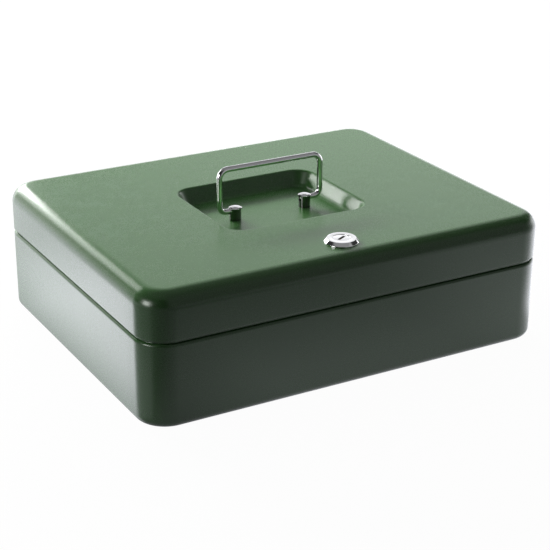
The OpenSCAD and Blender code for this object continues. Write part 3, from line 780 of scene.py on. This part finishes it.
# %% Floor
floor_reach = 6                            # metres to each side
floor_mesh = bpy.data.meshes.new("floor")
floor_corners = [(x * floor_reach, y * floor_reach, 0) for x, y in ((-1, -1), (1, -1), (1, 1), (-1, 1))]
floor_mesh.from_pydata(floor_corners, [], [(0, 1, 2, 3)])
floor = bpy.data.objects.new("floor", floor_mesh)
scene.collection.objects.link(floor)
floor_white, mixer = material("floor_white")
floor_mesh.materials.append(floor_white)
ray = mixer.node("ShaderNodeLightPath")
spot = mixer.node("ShaderNodeSeparateXYZ", {}, {0: mixer.node("ShaderNodeTexCoord")["Object"]})
across, along = spot["X"], spot["Y"]
ahead, aside = turned_axes(across, along)
print("table:", 2 * floor_reach, "m wide")

# %% Glows that the paint mirrors
corner_x, corner_y = -0.146, -0.113        # at the front left corner's foot, in metres
beside = -box_w / 2 * MM - across          # how far a spot lies out from the left wall
corner_turn = (corner_x - across).angle_from(along - corner_y)       # about that foot, from +Y to the left

# left of the box: 1.9 at the wall's foot, 4.1 from 35 mm out, and 1.4 less towards the back
left_level = 1.9 + 2.2 * step_between(beside, 0.0, 0.035) - 1.4 * step_between(along, 0.10, 0.22)
left_glow = left_level * (1 - step_between(corner_turn, 28, 44)) * step_between(beside, -0.003, 0.002)

# round the corner: dimmer, and dimmer again further out
corner_level = 0.88 - 0.32 * step_between(beside, 0.08, 0.13)
corner_glow = corner_level * (1 - step_between(corner_turn, 105, 125)) * step_between(beside, 0.0, 0.01)

# in front of the box, then to its right, where the level climbs with the distance and towards the back
front_glow = 0.85 * band(along, -0.25, -0.02, 0.09) * step_between(across, -0.20, -0.05)
side_glow = (0.28 + 0.5 * step_between(across, 0.10, 0.20) + 0.75 * step_between(along, 0.02, 0.14)
             + 1.5 * step_between(across, 0.17, 0.20) * step_between(along, -0.17, -0.13))

# a field far behind, which the lid's back edge mirrors where it rounds away
far_glow = 4.0 * band(ahead, 0.75, 1.7, 0.15) * band(aside, -0.4, 0.4, 0.1)
pattern = left_glow.larger(corner_glow).larger(front_glow + side_glow).larger(far_glow)
print("glows: left, corner, front, side and far")

# %% Glow over paper
glow_share, glow_strength = 0.975, 5.0     # the strength covers the brightest level in the pattern
to_mirror, to_camera = ray["Is Glossy Ray"], ray["Is Camera Ray"]
seen = to_camera.larger(to_mirror).larger(ray["Is Transmission Ray"])
level = plain_white + (pattern - plain_white) * to_mirror
paper_shade = mixer.mix(to_camera, grey(0.12), grey(0.80))
glow_shade = mixer.mix(to_camera, (0.97, 0.965, 1.04, 1), grey(1.0))
glow_colour = mixer.mix(level * (1 / glow_strength), grey(0.0), glow_shade)
paper = mixer.node("ShaderNodeBsdfDiffuse", {}, {"Color": paper_shade})["BSDF"]
glow = mixer.node("ShaderNodeEmission", {}, {"Color": glow_colour, "Strength": glow_strength})["Emission"]
blend = mixer.node("ShaderNodeMixShader", {}, {0: seen * glow_share, 1: paper, 2: glow})["Shader"]
mixer.node("ShaderNodeOutputMaterial", {}, {"Surface": blend})
print("floor material:", len(floor_white.node_tree.nodes), "nodes")

# %% [markdown]
# ## The air
# The world is white to the camera. For everything else it is nearly dark, with glowing patches between two
# turns and two rises: a white wall behind that fades upwards, brighter panels to the left and right of it,
# and two faint glows that only mirrors see, one in front of the box to the right and one overhead.

# %% Air
world = bpy.data.worlds.new("studio")
world.use_nodes = True
scene.world = world
sky = Recipe(world.node_tree)
way = sky.node("ShaderNodeSeparateXYZ", {}, {0: sky.node("ShaderNodeTexCoord")["Generated"]})
ray = sky.node("ShaderNodeLightPath")
ahead, aside = turned_axes(way["X"], way["Y"])
turn = aside.angle_from(ahead)             # degrees to the left of straight behind


def above(rise, soft):
    """0 below a rise in degrees and 1 above it, over an edge of soft degrees to each side."""
    return step_between(way["Z"], math.sin(math.radians(rise - soft)), math.sin(math.radians(rise + soft)))


def patch(turns, rises, level, soft=3):
    """A glowing part of the room between two turns and two rises, all in degrees."""
    low, high = rises
    return level * band(turn, *turns, soft) * (above(low, soft) * (1 - above(high, soft)))


print("a patch lies between two turns and two rises")

# %% Patches of the room
dim = 0.03
panels = [((-24, 24), (-20, 2), 1.6),      # the wall behind, from the table upwards
          ((-24, 5), (2, 21), 1.15), ((5, 24), (2, 21), 0.95),
          ((-24, 5), (21, 48), 0.85), ((5, 24), (21, 48), 0.75),
          ((24, 45), (-20, 22), 1.2),      # left of it
          ((-60, -36), (-20, 14), 3.2), ((-80, -60), (-20, 24), 0.9)]      # right of it
room = dim
for turns, rises, level in panels:
    room = room + patch(turns, rises, level)
room = room + patch((-160, -85), (0, 55), 0.30) * ray["Is Glossy Ray"]
room = room + 0.22 * step_between(way["Z"], 0.78, 0.86) * ray["Is Glossy Ray"]
seen_white = room.larger(ray["Is Camera Ray"])
air = sky.node("ShaderNodeBackground", {}, {"Color": (0.985, 0.99, 1.02, 1), "Strength": seen_white})
sky.node("ShaderNodeOutputWorld", {}, {"Surface": air["Background"]})
print("room:", len(panels) + 2, "patches")

# %% [markdown]
# ## The lamps
# The lamps come in two kinds, because brightness and shine are set apart from each other. A low key behind
# the box and three weak fills only brighten the paint and are never mirrored. Four softboxes are only
# mirrored: two by the lid's rounded left edge and the chrome, a small near one by the pocket's right wall,
# and a narrow one by the front left corner.

# %% Lamps
def softbox(name, turns, rises, distance, radiance, diffuse=True, glossy=True, aim_h=0.06):
    """A softbox that covers a range of turn and rise, in degrees, seen from a point aim_h above the table.
    Its watts are radiance x area x pi."""
    turned = back_axis + math.radians(sum(turns) / 2)
    raised = math.radians(sum(rises) / 2)
    out = Vector((math.cos(raised) * math.cos(turned), math.cos(raised) * math.sin(turned), math.sin(raised)))
    width = 2 * distance * math.tan(math.radians(turns[1] - turns[0]) / 2) * math.cos(raised)
    height = 2 * distance * math.tan(math.radians(rises[1] - rises[0]) / 2)
    lamp = bpy.data.lights.new(name, "AREA")
    lamp.shape, lamp.size, lamp.size_y = "RECTANGLE", width, height
    lamp.energy = radiance * width * height * math.pi
    holder = bpy.data.objects.new(name, lamp)
    level_axis = Vector((0, 0, 1)).cross(out).normalized()
    facing = Matrix((level_axis, out.cross(level_axis), out)).transposed().to_4x4()
    holder.matrix_world = Matrix.Translation(out * distance + Vector((0, 0, aim_h))) @ facing
    holder.visible_camera, holder.visible_diffuse, holder.visible_glossy = False, diffuse, glossy
    scene.collection.objects.link(holder)
    print(f"{name}: {width:.2f} x {height:.2f} m, {lamp.energy:.1f} W")


softbox("key", (5, 55), (19, 24), 1.6, 95.0, glossy=False)
softbox("fill", (-30, 60), (30, 64), 1.6, 0.6, glossy=False)
softbox("side_fill", (80, 120), (14, 40), 1.6, 3.0, glossy=False)
softbox("right_fill", (-60, -15), (16, 40), 0.8, 3.0, glossy=False)
softbox("left_high", (34, 57), (14, 36), 2.0, 3.9, diffuse=False)
softbox("left_low", (24, 66), (-2, 14), 2.0, 2.1, diffuse=False)
softbox("pocket_light", (51, 67), (11.5, 22.5), 0.283, 15.0, diffuse=False)
softbox("corner_light", (117, 139), (6, 25), 1.5, 12.5, diffuse=False)

# %% [markdown]
# ## The camera
# The camera stands about a metre away, in front and to the left, with a long lens, so the box's far edges
# shrink only a little. Its place is a point, and its aim is three plain angles: a heading to the right of
# +Y, a dip below the horizon, and a slight roll.

# %% Camera
lens_mm, sensor_mm = 99.09, 36.0
eye = Vector((-0.486320, -0.862061, 0.447589))
heading, dip, roll = 29.6875, 22.7947, 0.4287
view = bpy.data.cameras.new("camera")
view.lens, view.sensor_width, view.sensor_fit = lens_mm, sensor_mm, "HORIZONTAL"
view.clip_start, view.clip_end = 0.01, 50.0
camera = bpy.data.objects.new("camera", view)
aim = (Matrix.Rotation(math.radians(-heading), 4, "Z") @ Matrix.Rotation(math.radians(90 - dip), 4, "X")
       @ Matrix.Rotation(math.radians(roll), 4, "Z"))
camera.matrix_world = Matrix.Translation(eye) @ aim
scene.collection.objects.link(camera)
scene.camera = camera
print("camera:", round(eye.length, 3), "m from the middle of the box's underside")
